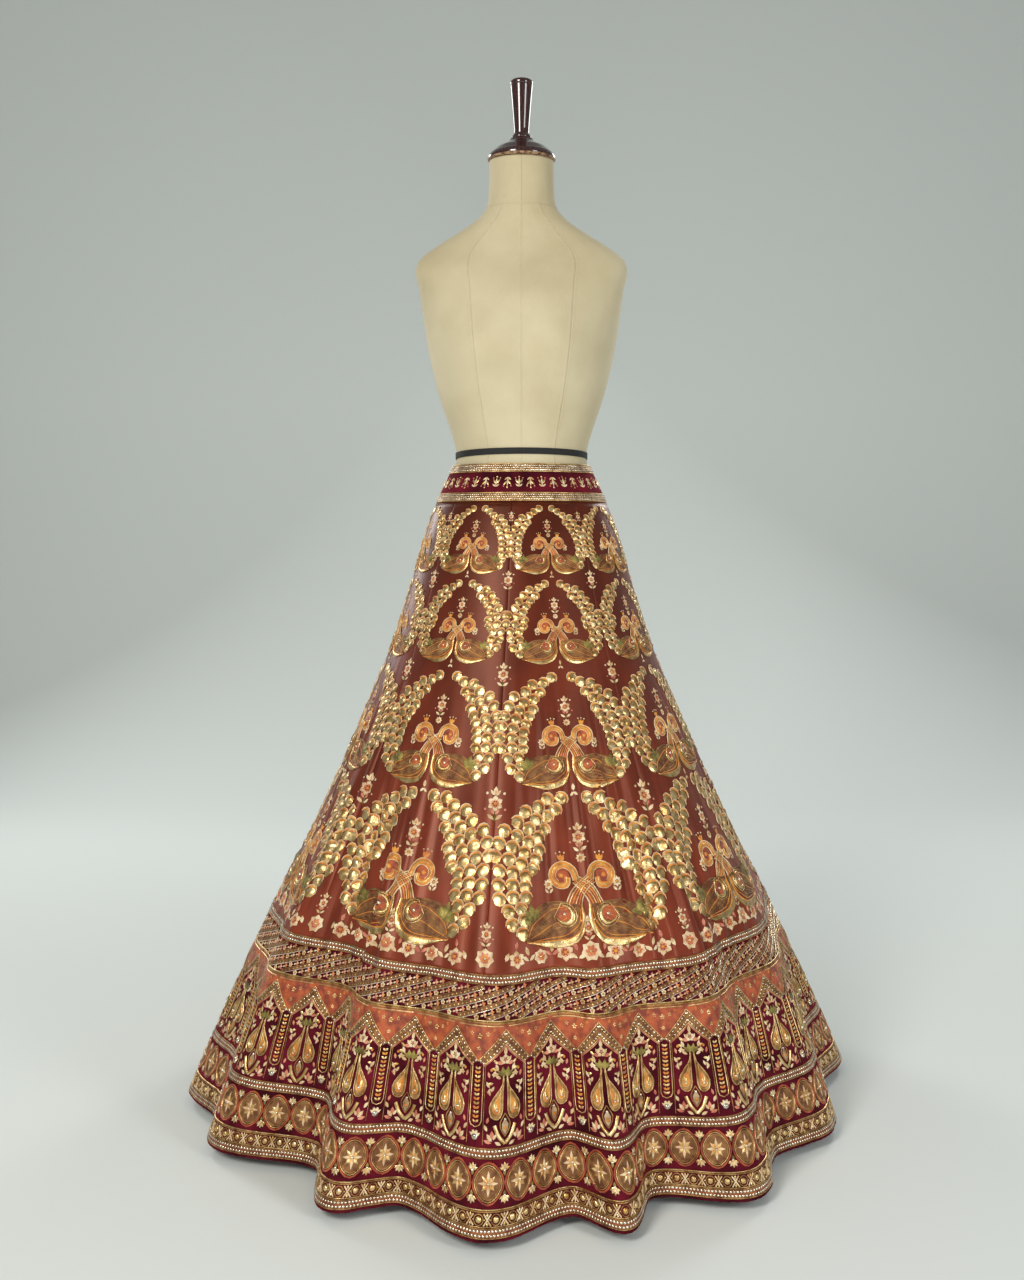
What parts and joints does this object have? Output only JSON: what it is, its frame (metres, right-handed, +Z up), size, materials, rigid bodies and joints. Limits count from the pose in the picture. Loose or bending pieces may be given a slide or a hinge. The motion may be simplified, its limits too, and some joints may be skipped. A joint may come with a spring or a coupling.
{
  "type": "lehenga skirt on a dress form",
  "caption": "Floor-length flared bridal lehenga skirt in rust satin with a deep maroon velvet border and gold embroidery, on a limbless dress form with a round stand",
  "frame": {"origin": "centre of the base plate's underside, on the floor", "axes": "+Z up along the pole, -Y the front of the skirt, +X the side at the right of a viewer in front"},
  "size_m": [1.0897, 1.094, 1.6636],
  "materials": {
    "satin": "silk satin with a soft sheen, embroidered in gold thread and sequins",
    "velvet": "short-pile velvet, embroidered in gold thread, sequins and beads",
    "jersey": "matt knitted cover stretched over a firm form",
    "tape": "matt black twill tape",
    "wood": "dark varnished turned wood, glossy",
    "steel": "satin brushed steel",
    "gold_work": "pale gold foil sequins and metal thread, shiny",
    "silk_thread": "twisted silk embroidery thread in orange, cream, rose and olive",
    "beads": "small silver-lined beads, glossy"
  },
  "bodies": {
    "root": {"waistband": "velvet", "gore_1": "satin", "gore_2": "satin", "gore_3": "satin", "gore_4": "satin", "gore_5": "satin", "gore_6": "satin", "gore_7": "satin", "gore_8": "satin", "border_1": "velvet", "border_2": "velvet", "border_3": "velvet", "border_4": "velvet", "border_5": "velvet", "border_6": "velvet", "border_7": "velvet", "border_8": "velvet", "hem_edge": "velvet", "form_torso": "jersey", "waist_tape": "tape", "neck_cap": "wood", "handle": "wood", "base_plate": "steel", "base_collar": "steel", "form_socket": "steel", "pole": "steel"}
  },
  "joints": []
}
